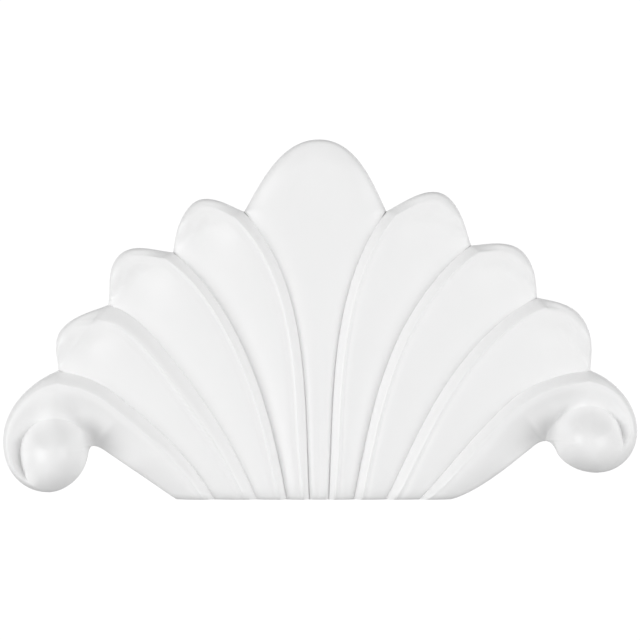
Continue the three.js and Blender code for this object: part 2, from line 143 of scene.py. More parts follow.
# Shares of a leaf's width at its notches, of the crest's height, of a rib and of an eye's radius,
# and the paces and powers of their curves
SHARES = {
    "rib": 0.27, "turn": 0.18, "clear": 0.3, "fade": 1.9, "leaf_shoulder": 0.45, "dish": 0.32,
    "crown_dish": 0.15, "crown_spread": 0.4, "crown_stretch": 1.4, "crown_place": 0.25,
    "crown_rim": 0.12, "crown_ridge": 0.3, "crown_shoulder": 0.9, "crown_top_shoulder": 0.2,
    "arm_fade": 1.9, "arm_lead": 0.2, "bead": 0.48,
    "brim": 0.76, "brim_power": 6, "dome_power": 2.0, "ball_lean": 0.12,
    "dimple_out": 0.25, "dimple_up": 0.52, "dimple_spread": 0.28,
    "foot_fall": 0.86, "shaft_fall": 0.74, "valley_fall": 0.5,
    "summit_fall": 0.82, "flank_fall": 0.74, "merge_fall": 0.86, "tail_fall": 0.6,
    "belly_fall": 0.54,
}

# What each point of the plan carries into the carving
FIELDS = ("along", "across", "run", "reach", "rib", "rim", "fade", "gap", "hollow", "blade",
          "dome", "front", "fall", "top", "soft", "shoulder", "sink", "drop", "foot")
BLADE, CROWN, EYE = 0, 1, 2

# The angle beside the crook, in radians, in which the rays of an eye are spaced evenly
CROOK_ANGLE = 0.12


def arc(start, heading_a, end, heading_b):
    """A cubic between two headed points, a circle's arc wherever the headings allow one."""
    start = np.array(start, float)
    end = np.array(end, float)
    chord = np.linalg.norm(end - start)
    turn = math.radians((heading_b - heading_a + 540) % 360 - 180)
    share = 1 / 3
    if abs(turn) > 0.01:
        share = 2 / 3 * math.tan(turn / 4) / math.sin(turn / 2)
    a = math.radians(heading_a)
    b = math.radians(heading_b)
    leaving = start + chord * share * np.array([math.cos(a), math.sin(a)])
    reaching = end - chord * share * np.array([math.cos(b), math.sin(b)])
    t = np.linspace(0, 1, CURVE_STEPS + 1)[:, None]
    return ((1 - t) ** 3 * start + 3 * t * (1 - t) ** 2 * leaving
            + 3 * t * t * (1 - t) * reaching + t ** 3 * end)


def trace(knots):
    """A smooth line through knots (x, z, heading)."""
    line = [np.array([knots[0][:2]], float)]
    for a, b in zip(knots, knots[1:]):
        line.append(arc(a[:2], a[2], b[:2], b[2])[1:])
    return np.vstack(line)


def space(line, steps):
    """The same line in equal steps."""
    run = np.concatenate([[0], np.cumsum(np.linalg.norm(np.diff(line, axis=0), axis=1))])
    goals = np.linspace(0, run[-1], steps + 1)
    spaced = np.column_stack([np.interp(goals, run, line[:, axis]) for axis in (0, 1)])
    spaced[0] = line[0]
    spaced[-1] = line[-1]
    return spaced


def draw_side(side, half, height):
    """All the lines of one side in plan, x outward from the middle line, z up from the foot."""
    def knot(values):
        return (values[0] * half, values[1] * height, *values[2:])

    grooves = [space(trace([knot(k) for k in g["knots"]]), GROOVE_ROWS) for g in side["grooves"]]
    notches = [tuple(groove[-1]) for groove in grooves]
    top = (CROWN_TOP * side["hand"] * half, height, 180)
    crown = space(trace([(*notches[0], side["crown_leave"]), top]), TIP_ROWS)
    tips = []
    for k, tip in enumerate(side["tips"]):
        nose = knot(tip["nose"])
        inner = space(trace([(*notches[k], tip["leave"]), nose]), TIP_ROWS)
        outer = space(trace([nose, (*notches[k + 1], tip["reach"])]), TIP_ROWS)
        tips.append((inner, outer))

    eye = side["eye"]
    under = side["under"]
    scroll = side["scroll"]
    cx, cz = knot(eye["centre"])
    radius = eye["radius"] * half
    angle = math.radians(eye["joint"])
    joint = (cx + radius * math.cos(angle), cz + radius * math.sin(angle), eye["joint"] - 90)
    summit = (cx, cz + radius, 0)
    flank = (cx + radius, cz, -90)
    tail = knot(scroll["tail"])
    crook = knot(under["crook"])
    outer_scroll = space(trace([(*notches[-1], scroll["leave"]), (*knot(scroll["side"]), -90),
                                (*tail, -180)]), SCROLL_ROWS)
    belly = space(trace([(*tail, 180), joint, (*crook[:2], crook[2] + 180)]), BELLY_ROWS)
    shaft = space(trace([knot(under["corner"]), knot(under["waist"]), crook]), UNDER_ROWS)
    rise = space(trace([(*crook[:2], under["valley"]), summit]), RISE_ROWS)
    wrap = space(trace([summit, flank, (*tail, scroll["tail_heading"])]),
                 GROOVE_ROWS + SCROLL_ROWS - UNDER_ROWS - RISE_ROWS)
    return {"grooves": grooves, "crown": crown, "tips": tips, "centre": np.array([cx, cz]),
            "scroll": outer_scroll, "belly": belly, "under": shaft, "rise": rise, "wrap": wrap}


def outline_of(drawn):
    """The outline of one side from the foot corner up to the top of the crown."""
    runs = [drawn["under"], drawn["belly"][:-1][::-1], drawn["scroll"][:-1][::-1]]
    for inner, outer in reversed(drawn["tips"]):
        runs.append(outer[:-1][::-1])
        runs.append(inner[:-1][::-1])
    runs.append(drawn["crown"][1:])
    return np.vstack(runs)


def clamp(value):
    return np.clip(value, 0, 1)


def ease(value):
    value = clamp(value)
    return value * value * (3 - 2 * value)


def eased(place, knots):
    """The value at a place on a line of (place, value) knots with easy turns at each."""
    for (a, low), (b, high) in zip(knots, knots[1:]):
        if place < b:
            return low + (high - low) * float(ease((place - a) / (b - a)))
    return knots[-1][1]


def turned(row, share=0):
    """How much wider a rib is where it turns the corner at its notch."""
    return 1 + SHARES["turn"] * (1 - share) * math.exp(-((row - GROOVE_ROWS) / TURN_ROWS) ** 2)


def up_tip(row, pace):
    """0 up to the notches, then rising to 1, pace times as fast as the tip does."""
    return float(ease((row - GROOVE_ROWS) / TIP_ROWS * pace))


def spot(point):
    """The name of a place in plan: its coordinates in whole microns."""
    return (round(point[0] * 1e6), round(point[1] * 1e6))


def distance(points, line):
    """How far each point lies from a line of points."""
    run = line[1:] - line[:-1]
    length = np.maximum((run ** 2).sum(axis=1), 1e-16)
    least = np.full(len(points), np.inf)
    for first in range(0, len(points), BATCH):
        away = points[first:first + BATCH, None, :] - line[None, :-1]
        share = clamp((away * run[None]).sum(axis=2) / length)
        rest = away - share[..., None] * run[None]
        least[first:first + BATCH] = np.sqrt((rest ** 2).sum(axis=2).min(axis=1))
    return least


class Plan:
    """The flat plan of the ornament: points with their fields, and the faces between them."""

    def __init__(self, half, height):
        self.half = half
        self.sides = [{**side, "drawn": draw_side(side, half, height)} for side in (LEFT, RIGHT)]
        left = outline_of(self.sides[0]["drawn"]) * (-1, 1)
        right = outline_of(self.sides[1]["drawn"])[:-1][::-1]
        self.outline = np.vstack([left, right])
        self.points = []
        self.fields = []
        self.faces = []
        self.known = {}

    def add(self, point, **fields):
        """One front point for each place in plan, so that neighbouring patches share edges."""
        name = spot(point)
        if name not in self.known:
            self.known[name] = len(self.points)
            self.points.append((float(point[0]), float(point[1])))
            self.fields.append({"front": 1.0, **fields})
        return self.known[name]

    def face(self, *ids):
        ring = [i for k, i in enumerate(ids) if i != ids[k - 1]]
        if len(ring) < 3:
            return
        self.faces.append(ring if self.turns(ring) > 0 else ring[::-1])

    def turns(self, ids):
        """Twice the area inside a ring of points, below zero for a ring that turns clockwise."""
        xz = np.array([self.points[i] for i in ids])
        after = np.roll(xz, -1, axis=0)
        return (xz[:, 0] * after[:, 1] - after[:, 0] * xz[:, 1]).sum()

    def patch(self, inner, outer, ridge_at, fields_at):
        """Rows of points from the inner line to the outer one, with one column on the ridge."""
        rib_steps = (1 - np.cos(np.pi * np.arange(RIB_COLUMNS) / RIB_COLUMNS)) / 2
        blade_steps = (1 - np.cos(np.pi * np.arange(BLADE_COLUMNS + 1) / BLADE_COLUMNS)) / 2
        grid = []
        for row, (a, b) in enumerate(zip(inner, outer)):
            width = float(np.linalg.norm(b - a))
            ridge = min(ridge_at(row, width) / max(width, 1e-6), RIDGE_LIMIT)
            ids = []
            for share in np.concatenate([rib_steps * ridge, ridge + blade_steps * (1 - ridge)]):
                point = a + (b - a) * share
                ids.append(self.add(point, **fields_at(point, float(share), row, width)))
            grid.append(ids)
        for low, high in zip(grid, grid[1:]):
            for k in range(RIB_COLUMNS + BLADE_COLUMNS):
                self.face(low[k], low[k + 1], high[k + 1], high[k])
        return grid

    def leaf(self, side, k, shares):
        drawn = side["drawn"]
        hand = (side["hand"], 1)
        inner = np.vstack([drawn["grooves"][k], drawn["tips"][k][0][1:]]) * hand
        outer = np.vstack([drawn["grooves"][k + 1], drawn["tips"][k][1][:-1][::-1]]) * hand
        notch = outer[GROOVE_ROWS]
        span = float(np.linalg.norm(notch - inner[GROOVE_ROWS]))
        dish = (notch + inner[GROOVE_ROWS]) / 2
        rib = side["grooves"][k]["rib"] * self.half

        def rib_at(row, width, share=0):
            tip = up_tip(row, TIP_PACE)
            whole = min(rib, shares["rib"] * (width if row < GROOVE_ROWS else span))
            return turned(row, share) * (whole * (1 - tip) + side["rim"] * self.half * tip)

        def fields_at(point, share, row, width):
            away = np.linalg.norm(point - dish) / (shares["dish"] * span)
            return {"along": row / ROWS, "across": share, "run": share * width, "reach": width,
                    "rib": rib_at(row, width, share), "rim": share * width,
                    "fade": up_tip(row, shares["fade"]),
                    "hollow": math.exp(-away * away), "blade": BLADE, "fall": 0.0, "soft": 0.0,
                    "top": 1.0, "shoulder": shares["leaf_shoulder"],
                    "sink": side["grooves"][k]["deep"], "drop": side["grooves"][k + 1]["deep"]}
        first = len(self.points)
        grid = self.patch(inner, outer, rib_at, fields_at)
        points = np.array(self.points[first:])
        beside = distance(points, inner)
        around = distance(points, np.vstack([inner, outer[GROOVE_ROWS:][::-1]]))
        clear = ease(np.linalg.norm(points - notch, axis=1) / (shares["clear"] * span))
        for fields, rim in zip(self.fields[first:], beside + (around - beside) * clear):
            fields["rim"] = float(rim)
        return grid

    def arm_fall(self, side, row, shares):
        """Height of the arm's lower side and of the groove round the eye, over the crest."""
        summit = UNDER_ROWS + RISE_ROWS
        close = GROOVE_ROWS + side["scroll"]["close"] * SCROLL_ROWS
        return eased(row, [(0, shares["foot_fall"]), (UNDER_ROWS / 2, shares["shaft_fall"]),
                           (UNDER_ROWS, side["scroll"]["crook"]),
                           (UNDER_ROWS + RISE_ROWS / 2, shares["valley_fall"]),
                           (summit, shares["summit_fall"]),
                           (summit + RISE_ROWS / 2, shares["flank_fall"]),
                           (close - TIP_ROWS / 4, shares["flank_fall"]),
                           (close + TIP_ROWS / 8, shares["merge_fall"]),
                           (GROOVE_ROWS + SCROLL_ROWS, shares["tail_fall"])])

    def arm_top(self, side, row, shares):
        """Height of the rim round the eye, over the crest: it merges where the groove closes."""
        close = GROOVE_ROWS + side["scroll"]["close"] * SCROLL_ROWS
        return eased(row, [(close - TIP_ROWS / 4, 1.0), (GROOVE_ROWS + SCROLL_ROWS,
                                                         shares["tail_fall"])])

    def arm(self, side, shares):
        drawn = side["drawn"]
        hand = (side["hand"], 1)
        inner = np.vstack([drawn["grooves"][-1], drawn["scroll"][1:]]) * hand
        outer = np.vstack([drawn["under"], drawn["rise"][1:], drawn["wrap"][1:]]) * hand
        rib = side["grooves"][-1]["rib"] * self.half

        def rib_at(row, width):
            narrow = float(ease((row - GROOVE_ROWS + TIP_ROWS / 4) / TIP_ROWS))
            return turned(row) * min(rib * (1 - narrow * (1 - shares["bead"])),
                                     shares["rib"] * width)

        def fields_at(point, share, row, width):
            turning = float(ease((row - UNDER_ROWS) / TIP_ROWS + 1))
            return {"along": min(row, GROOVE_ROWS) / ROWS, "across": share,
                    "run": share * width, "reach": width, "rib": rib_at(row, width),
                    "rim": share * width,
                    "fade": float(ease(((row - GROOVE_ROWS) / TIP_ROWS + shares["arm_lead"])
                                       * shares["arm_fade"])),
                    "hollow": 0.0, "blade": BLADE, "fall": self.arm_fall(side, row, shares),
                    "top": self.arm_top(side, row, shares),
                    "soft": turning,
                    "shoulder": 1 - share * turning, "sink": side["grooves"][-1]["deep"],
                    "drop": 1.0}
        return self.patch(inner, outer, rib_at, fields_at)

    def eye(self, side, shares):
        drawn = side["drawn"]
        hand = (side["hand"], 1)
        rim = np.vstack([drawn["rise"][:-1], drawn["wrap"][:-1], drawn["belly"][:-1]]) * hand
        centre = drawn["centre"] * hand
        radius = side["eye"]["radius"] * self.half
        dimple = centre + np.multiply(hand, (shares["dimple_out"], shares["dimple_up"])) * radius
        last = GROOVE_ROWS + SCROLL_ROWS
        belly = [(0, shares["tail_fall"]), (BELLY_MIDDLE, shares["belly_fall"]),
                 (1, side["scroll"]["crook"])]
        wrapped = last - UNDER_ROWS
        stretch = [(0, 0.0), (RISE_ROWS, 1.0), (wrapped + BELLY_HELD * BELLY_ROWS, 1.0),
                   (wrapped + BELLY_ROWS, 0.0)]
        rays = (rim - centre) * hand
        true = np.unwrap(np.arctan2(rays[:, 1], rays[:, 0]))
        closing = true[0] - 2 * math.pi
        tight = int(np.argmax(true < closing + CROOK_ANGLE))
        even = true.copy()
        even[tight:] = np.linspace(true[tight], closing, len(true) - tight + 1)[:-1]
        rings = []
        for ring in range(EYE_RINGS + 1):
            share = math.sin(ring / EYE_RINGS * math.pi / 2)
            ids = []
            for k, edge in enumerate(rim):
                fall = self.arm_fall(side, UNDER_ROWS + k, shares)
                if UNDER_ROWS + k > last:
                    fall = eased((UNDER_ROWS + k - last) / BELLY_ROWS, belly)
                ray = edge - centre
                round_share = radius / np.linalg.norm(ray)
                place = share * float(round_share + (1 - round_share) * share ** RAY_POWER)
                bearing = even[k] + (true[k] - even[k]) * share ** RAY_POWER
                way = np.array([math.cos(bearing), math.sin(bearing)]) * hand
                inside = centre + way * (np.linalg.norm(ray) * place)
                point = inside if ring < EYE_RINGS else edge
                whole = round_share + (1 - round_share) * eased(k, stretch)
                out = float(clamp(place / whole))
                sunk = np.linalg.norm(point - dimple) / (shares["dimple_spread"] * radius)
                lean = shares["ball_lean"] * (point[1] - centre[1]) / radius
                dome = (1 - out ** shares["dome_power"]) * (1 - lean)
                dome /= 1 + shares["ball_lean"] ** 2 / 4
                ids.append(self.add(point, along=GROOVE_ROWS / ROWS,
                                    across=out ** shares["brim_power"], run=shares["brim"],
                                    reach=1.0, rib=1.0, rim=0.0, fade=0.0,
                                    hollow=math.exp(-sunk * sunk), blade=EYE, dome=dome,
                                    fall=fall, top=1.0))
            rings.append(ids)
        for low, high in zip(rings, rings[1:]):
            for k in range(len(rim)):
                nxt = (k + 1) % len(rim)
                self.face(low[k], low[nxt], high[nxt], high[k])

    def crown(self, shares):
        left, right = self.sides
        inner = np.vstack([left["drawn"]["grooves"][0], left["drawn"]["crown"][1:]]) * (-1, 1)
        outer = np.vstack([right["drawn"]["grooves"][0], right["drawn"]["crown"][1:]])
        span = float(np.linalg.norm(outer[GROOVE_ROWS] - inner[GROOVE_ROWS]))
        dish = inner[-1] - (0, shares["crown_place"] * span)

        def fields_at(point, share, row, width):
            away = np.linalg.norm((point - dish) / (1, shares["crown_stretch"]))
            away /= shares["crown_spread"] * span
            leaf = shares["leaf_shoulder"]
            aside = min(abs(point[0] - dish[0]) / span * 2, 1)
            beyond = aside ** CROWN_SIDE_POWER
            tip = shares["crown_top_shoulder"] + shares["crown_shoulder"] * beyond
            up = up_tip(row, TIP_PACE)
            return {"along": row / ROWS, "across": share, "run": min(share, 1 - share) * width,
                    "reach": width, "rib": shares["crown_rim"] * span, "rim": 0.0,
                    "fade": up_tip(row, shares["fade"]),
                    "hollow": shares["crown_dish"] * math.exp(-away * away), "blade": CROWN,
                    "fall": 0.0, "soft": 0.0, "top": 1.0,
                    "sink": (left if share < 0.5 else right)["grooves"][0]["deep"], "drop": 1.0,
                    "shoulder": leaf + (tip - leaf) * up}
        first = len(self.points)
        grid = self.patch(inner, outer, lambda row, width: shares["crown_ridge"] * width,
                          fields_at)
        tip = np.vstack([inner[GROOVE_ROWS:], outer[GROOVE_ROWS:][::-1]])
        for fields, rim in zip(self.fields[first:], distance(np.array(self.points[first:]), tip)):
            fields["rim"] = float(rim)
        return grid

    def build(self, shares):
        """Every patch of the front, then the upright edge, the flat back and the flat foot."""
        left, right = self.sides
        foot = []
        foot += self.arm(left, shares)[0][::-1]
        for k in (2, 1, 0):
            foot += self.leaf(left, k, shares)[0][::-1]
        foot += self.crown(shares)[0]
        for k in (0, 1, 2):
            foot += self.leaf(right, k, shares)[0]
        foot += self.arm(right, shares)[0]
        self.eye(left, shares)
        self.eye(right, shares)
        for fields, gap in zip(self.fields, distance(np.array(self.points), self.outline)):
            fields["gap"] = float(gap)
        for point, fields in zip(self.points, self.fields):
            fields["foot"] = point[1]

        rim = [self.known[spot(point)] for point in self.outline]
        back = []
        for point in self.outline:
            back.append(len(self.points))
            self.points.append((float(point[0]), float(point[1])))
            self.fields.append({"front": 0.0, "reach": 1.0, "rib": 0.1})
        for k in range(1, len(rim)):
            self.faces.append([rim[k - 1], rim[k], back[k], back[k - 1]])
        self.faces.append(back[::-1] if self.turns(back) > 0 else back)
        foot = [i for k, i in enumerate(foot) if k == 0 or i != foot[k - 1]]
        self.faces.append([back[-1]] + foot[::-1] + [back[0]])


class Formula:
    """Writes arithmetic as math nodes, so that a node tree reads like a formula."""

    def __init__(self, tree, socket):
        self.tree = tree
        self.socket = socket

    def node(self, operation, *values):
        node = self.tree.nodes.new("ShaderNodeMath")
        node.operation = operation
        for k, value in enumerate(values):
            if isinstance(value, Formula):
                self.tree.links.new(value.socket, node.inputs[k])
            else:
                node.inputs[k].default_value = value
        return Formula(self.tree, node.outputs[0])

    def __add__(self, other):
        return self.node("ADD", self, other)

    def __sub__(self, other):
        return self.node("SUBTRACT", self, other)

    def __rsub__(self, other):
        return self.node("SUBTRACT", other, self)

    def __mul__(self, other):
        return self.node("MULTIPLY", self, other)

    def __rmul__(self, other):
        return self.node("MULTIPLY", other, self)

    def __truediv__(self, other):
        return self.node("DIVIDE", self, other)

    def __pow__(self, other):
        return self.node("POWER", self, other)

    def clamped(self):
        result = self.node("ADD", self, 0.0)
        result.socket.node.use_clamp = True
        return result

    def sine(self):
        return self.node("SINE", self * (math.pi / 2))

    def magnitude(self):
        return self.node("ABSOLUTE", self)

    def root(self):
        return self.node("SQRT", self)

    def bell(self, centre, spread):
        away = (self - centre) / spread
        return self.node("EXPONENT", away * away * -1.0)

    def mixed(self, low, high):
        """low at 0 and high at 1"""
        return self * (high - low) + low

    def equals(self, value):
        return self.node("COMPARE", self, value, 0.1)


def carving_tree(material):
    """The rule that raises the flat plan into relief."""
    tree = bpy.data.node_groups.new("Raise the carving", "GeometryNodeTree")
    tree.interface.new_socket("Geometry", in_out="INPUT", socket_type="NodeSocketGeometry")
    sizes = {}
    names = ("Depth", "Leaf lift", "Foot lift", "Tip droop", "Rounding", "Shoulder",
             "Groove depth", "Groove at foot", "Dish depth", "Dish wall", "Dimple depth",
             "Crease depth", "Crease width", "Flute depth", "Summit", "Full groove",
             "Blade power", "Roll share", "Foot roll", "Shoulder share",
             "Crown power", "Crown sink")
    for name in names:
        socket = tree.interface.new_socket(name, in_out="INPUT", socket_type="NodeSocketFloat")
        sizes[name] = socket.identifier
    socket = tree.interface.new_socket("Soften", in_out="INPUT", socket_type="NodeSocketInt")
    sizes["Soften"] = socket.identifier
    tree.interface.new_socket("Geometry", in_out="OUTPUT", socket_type="NodeSocketGeometry")

    given = tree.nodes.new("NodeGroupInput")
    size = {name: Formula(tree, given.outputs[name]) for name in names}
    field = {}
    for name in FIELDS:
        node = tree.nodes.new("GeometryNodeInputNamedAttribute")
        node.data_type = "FLOAT"
        node.inputs["Name"].default_value = name
        field[name] = Formula(tree, node.outputs["Attribute"])

    rise = (field["along"] / size["Summit"]).clamped().sine()
    droop = ((field["along"] - size["Summit"]) / (1.0 - size["Summit"])).clamped()
    crest = rise.mixed(size["Foot lift"], size["Leaf lift"]) - size["Tip droop"] * droop * droop
    groove = (field["along"] / size["Full groove"]).clamped().mixed(size["Groove at foot"],
                                                                    size["Groove depth"])
    held = 1.0 - field["fade"]
    bed = crest - groove * field["sink"] * held
    low_bed = crest - groove * field["drop"] * held

    edge = field["rib"]
    wall = 1.0 - (1.0 - (field["rim"] / edge).clamped()).clamped() ** WALL_POWER
    wide = field["reach"].node("MAXIMUM", field["reach"] - edge, 0.0001)
    share = ((field["run"] - edge) / wide).clamped()
    convex = (1.0 - share ** size["Blade power"]).clamped() ** BLADE_EASE
    easy = 1.0 - share * share * (3.0 - 2.0 * share)
    fall = field["soft"].mixed(convex, easy)
    on_arm = field["fall"].node("GREATER_THAN", field["fall"], 0.01)
    outer_bed = on_arm.mixed(low_bed, crest * field["fall"])
    crease = (field["rim"] - edge).bell(size["Crease width"] * CREASE_OFFSET,
                                          size["Crease width"])
    inside = ((field["rim"] - edge) / size["Dish wall"]).clamped()
    dish = inside * inside * (3.0 - 2.0 * inside) * field["hollow"]
    high = crest * field["top"]
    blade = (wall.mixed(bed, crest) + fall.mixed(outer_bed, high) - crest
             - dish * size["Dish depth"]
             - crease * size["Crease depth"] * (1.0 - on_arm * CREASE_LOSS))

    middle = (field["across"] * 2.0 - 1.0).magnitude()
    crown_fall = (1.0 - middle ** size["Crown power"]).clamped()
    fluted = (1.0 - field["along"] / size["Full groove"]).clamped()
    flute = field["across"].bell(0.5, FLUTE_SPREAD) * fluted * size["Flute depth"]
    grown = groove / size["Groove depth"]
    low = size["Crown sink"] * grown * grown * held
    crown = crown_fall.mixed(bed, crest - low) - flute - dish * size["Dish depth"]

    eye = (field["dome"].mixed(crest * field["run"], size["Depth"])
           + crest * (field["fall"] - field["run"]) * field["across"]
           - field["hollow"] * size["Dimple depth"])

    relief = (blade * field["blade"].equals(float(BLADE))
              + crown * field["blade"].equals(float(CROWN))
              + eye * field["blade"].equals(float(EYE)))
    near = (field["gap"] / size["Rounding"]).clamped()
    roll = 1.0 - (near * (2.0 - near)).root()
    foot = (1.0 - (field["foot"] / size["Rounding"]).clamped()) ** 2.0
    lean = (1.0 - (field["gap"] / size["Shoulder"]).clamped()) ** 2.0
    height = relief * (1.0 - size["Roll share"] * roll - size["Foot roll"] * foot
                       - size["Shoulder share"] * lean * field["shoulder"])
    clear = field["gap"].node("MINIMUM", field["gap"], field["foot"])
    free = clear.node("GREATER_THAN", clear, EDGE_BAND)
    soften = tree.nodes.new("GeometryNodeBlurAttribute")
    soften.data_type = "FLOAT"
    tree.links.new((height * field["front"]).socket, soften.inputs["Value"])
    tree.links.new(given.outputs["Soften"], soften.inputs["Iterations"])
    tree.links.new((free * SOFTEN_WEIGHT).socket, soften.inputs["Weight"])
    height = Formula(tree, soften.outputs["Value"])

    offset = tree.nodes.new("ShaderNodeCombineXYZ")
    tree.links.new((height * -1.0).socket, offset.inputs["Y"])
    lift = tree.nodes.new("GeometryNodeSetPosition")
    tree.links.new(given.outputs["Geometry"], lift.inputs["Geometry"])
    tree.links.new(offset.outputs["Vector"], lift.inputs["Offset"])
    realize = tree.nodes.new("GeometryNodeRealizeInstances")
    tree.links.new(lift.outputs["Geometry"], realize.inputs["Geometry"])
    finish = tree.nodes.new("GeometryNodeSetMaterial")
    finish.inputs["Material"].default_value = material
    tree.links.new(realize.outputs["Geometry"], finish.inputs["Geometry"])
    result = tree.nodes.new("NodeGroupOutput")
    tree.links.new(finish.outputs["Geometry"], result.inputs["Geometry"])
    return tree, sizes


def satin_white(settings):
    """White primer on moulded foam: even, satin, with the faintest orange peel."""
    material = bpy.data.materials.new("satin_white_primer")
    material.use_nodes = True
    tree = material.node_tree
    shader = tree.nodes["Principled BSDF"]
    shader.inputs["Specular IOR Level"].default_value = 0.5
    shader.inputs["IOR"].default_value = 1.46

    place = tree.nodes.new("ShaderNodeTexCoord")
    cloud = tree.nodes.new("ShaderNodeTexNoise")
    cloud.inputs["Scale"].default_value = 28
    cloud.inputs["Detail"].default_value = 3
    tree.links.new(place.outputs["Object"], cloud.inputs["Vector"])
    tone = tree.nodes.new("ShaderNodeMix")
    tone.data_type = "RGBA"
    color = settings.primer
    tone.inputs["A"].default_value = (color[0] * 0.985, color[1] * 0.985, color[2] * 0.985, 1)
    tone.inputs["B"].default_value = (*color, 1)
    tree.links.new(cloud.outputs["Fac"], tone.inputs["Factor"])
    tree.links.new(tone.outputs["Result"], shader.inputs["Base Color"])

    gloss = tree.nodes.new("ShaderNodeMapRange")
    gloss.inputs["To Min"].default_value = settings.roughness - 0.04
    gloss.inputs["To Max"].default_value = settings.roughness + 0.04
    tree.links.new(cloud.outputs["Fac"], gloss.inputs["Value"])
    tree.links.new(gloss.outputs["Result"], shader.inputs["Roughness"])

    peel = tree.nodes.new("ShaderNodeTexNoise")
    peel.inputs["Scale"].default_value = 700
    peel.inputs["Detail"].default_value = 2
    tree.links.new(place.outputs["Object"], peel.inputs["Vector"])
    bump = tree.nodes.new("ShaderNodeBump")
    bump.inputs["Strength"].default_value = 0.08
    bump.inputs["Distance"].default_value = 0.0002
    tree.links.new(peel.outputs["Fac"], bump.inputs["Height"])
    tree.links.new(bump.outputs["Normal"], shader.inputs["Normal"])
    return material


class ORNAMENT_PG_sizes(bpy.types.PropertyGroup):
    """Sizes and finish of the ornament"""
    width: bpy.props.FloatProperty(name="Width", description="Over both scrolls",
                                   default=0.3, subtype="DISTANCE", unit="LENGTH")
    height: bpy.props.FloatProperty(name="Height", description="Foot line to the top of the crown",
                                    default=0.1704, subtype="DISTANCE", unit="LENGTH")
    depth: bpy.props.FloatProperty(name="Depth", description="Wall to the front of the eyes",
                                   default=0.033, subtype="DISTANCE", unit="LENGTH")
    leaf_lift: bpy.props.FloatProperty(name="Leaf lift", description="Highest crest of the leaves",
                                       default=0.028, subtype="DISTANCE", unit="LENGTH")
    foot_lift: bpy.props.FloatProperty(name="Foot lift", description="Crest along the foot",
                                       default=0.018, subtype="DISTANCE", unit="LENGTH")
    tip_droop: bpy.props.FloatProperty(name="Tip droop", description="Fall from summit to tip",
                                       default=0.0025, subtype="DISTANCE", unit="LENGTH")
    rounding: bpy.props.FloatProperty(name="Rounding", description="Radius of the front arris",
                                      default=0.0015, subtype="DISTANCE", unit="LENGTH")
    shoulder: bpy.props.FloatProperty(name="Shoulder", description="Width of the falling border",
                                      default=0.013, subtype="DISTANCE", unit="LENGTH")
    groove_depth: bpy.props.FloatProperty(name="Groove depth", description="Grooves below crest",
                                          default=0.0056, subtype="DISTANCE", unit="LENGTH")
    groove_at_foot: bpy.props.FloatProperty(name="Groove at foot", description="Their depth there",
                                            default=0.0046, subtype="DISTANCE", unit="LENGTH")
    dish_depth: bpy.props.FloatProperty(name="Dish depth", description="Hollow inside each tip",
                                        default=0.0036, subtype="DISTANCE", unit="LENGTH")
    dish_wall: bpy.props.FloatProperty(name="Dish wall", description="Width of the hollow's wall",
                                       default=0.007, subtype="DISTANCE", unit="LENGTH")
    dimple_depth: bpy.props.FloatProperty(name="Dimple depth", description="Hollow in each eye",
                                          default=0.0013, subtype="DISTANCE", unit="LENGTH")
    crease_depth: bpy.props.FloatProperty(name="Crease depth", description="Line beside each rib",
                                          default=0.001, subtype="DISTANCE", unit="LENGTH")
    crease_width: bpy.props.FloatProperty(name="Crease width", description="Line beside each rib",
                                          default=0.0012, subtype="DISTANCE", unit="LENGTH")
    crown_sink: bpy.props.FloatProperty(name="Crown sink", description="Crown below the ribs",
                                        default=0.0025, subtype="DISTANCE", unit="LENGTH")
    flute_depth: bpy.props.FloatProperty(name="Flute depth", description="Flutes of the stem",
                                         default=0.0004, subtype="DISTANCE", unit="LENGTH")
    primer: bpy.props.FloatVectorProperty(name="Primer", description="Colour of the white primer",
                                          size=3, default=(0.93, 0.93, 0.93), min=0, max=1,
                                          subtype="COLOR")
    roughness: bpy.props.FloatProperty(name="Roughness", description="Sheen of the primer",
                                       default=0.38, min=0, max=1, subtype="FACTOR")


class ORNAMENT_PG_stage(bpy.types.PropertyGroup):
    """Sizes of the stage and strengths of its lights"""
    view_distance: bpy.props.FloatProperty(name="View distance", description="Camera to the wall",
                                           default=1.7, subtype="DISTANCE", unit="LENGTH")
    floor_drop: bpy.props.FloatProperty(name="Floor drop", description="Floor below the ornament",
                                        default=0.75, subtype="DISTANCE", unit="LENGTH")
    ambient: bpy.props.FloatProperty(name="Ambient", description="Even light of the room",
                                     default=0.358, min=0)
    key: bpy.props.FloatProperty(name="Key", description="Soft light on the left",
                                 default=41.6, min=0, unit="POWER")
    fill: bpy.props.FloatProperty(name="Fill", description="Soft light on the right",
                                  default=34.4, min=0, unit="POWER")
    backdrop: bpy.props.FloatProperty(name="Backdrop", description="Brightness of the backdrop",
                                      default=1.05, min=0)


